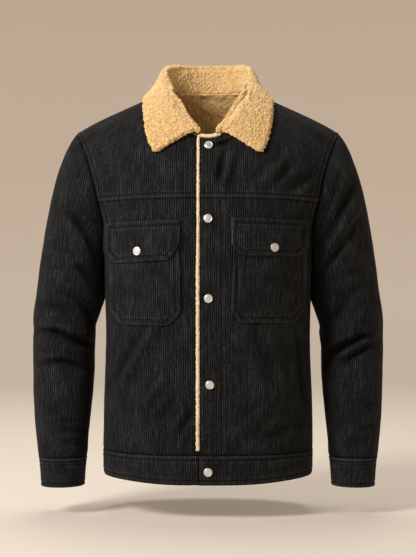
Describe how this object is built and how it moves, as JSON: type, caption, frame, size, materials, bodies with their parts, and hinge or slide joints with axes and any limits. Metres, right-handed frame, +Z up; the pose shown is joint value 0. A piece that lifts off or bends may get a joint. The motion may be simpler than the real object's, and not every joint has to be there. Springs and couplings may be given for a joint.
{
  "type": "sherpa lined jacket",
  "caption": "Sherpa lined jacket in dark wide wale corduroy, filled out as worn, with a fleece collar and front edging, chest flap pockets, a snap front, cuffs and a waistband.",
  "frame": {"origin": "midway between the two points where the shoulder seams meet the neck, where the wearer's shoulders hold the jacket up", "axes": "+Z up, -Y the front, +X the wearer's left"},
  "size_m": [0.6306, 0.2764, 0.7572],
  "materials": {
    "corduroy": "wide wale corduroy, charcoal black, soft nap",
    "sherpa": "curly sherpa pile, warm golden cream",
    "sherpa_lining": "curly sherpa pile, golden tan in shade",
    "snap_metal": "pale nickel cap, softly brushed"
  },
  "bodies": {
    "root": {"front_right": "corduroy", "yoke_right": "corduroy", "front_left": "corduroy", "yoke_left": "corduroy", "back": "corduroy", "sleeve_right": "corduroy", "cuff_right": "corduroy", "sleeve_left": "corduroy", "cuff_left": "corduroy", "waistband": "corduroy", "lining_back": "sherpa_lining", "lining_front_right": "sherpa_lining", "lining_front_left": "sherpa_lining", "pocket_right": "corduroy", "pocket_left": "corduroy", "flap_right": "corduroy", "flap_left": "corduroy", "edging": "sherpa", "collar": "sherpa", "snap_1": "snap_metal", "snap_2": "snap_metal", "snap_3": "snap_metal", "snap_4": "snap_metal", "snap_5": "snap_metal", "snap_flap_right": "snap_metal", "snap_flap_left": "snap_metal"}
  },
  "joints": []
}
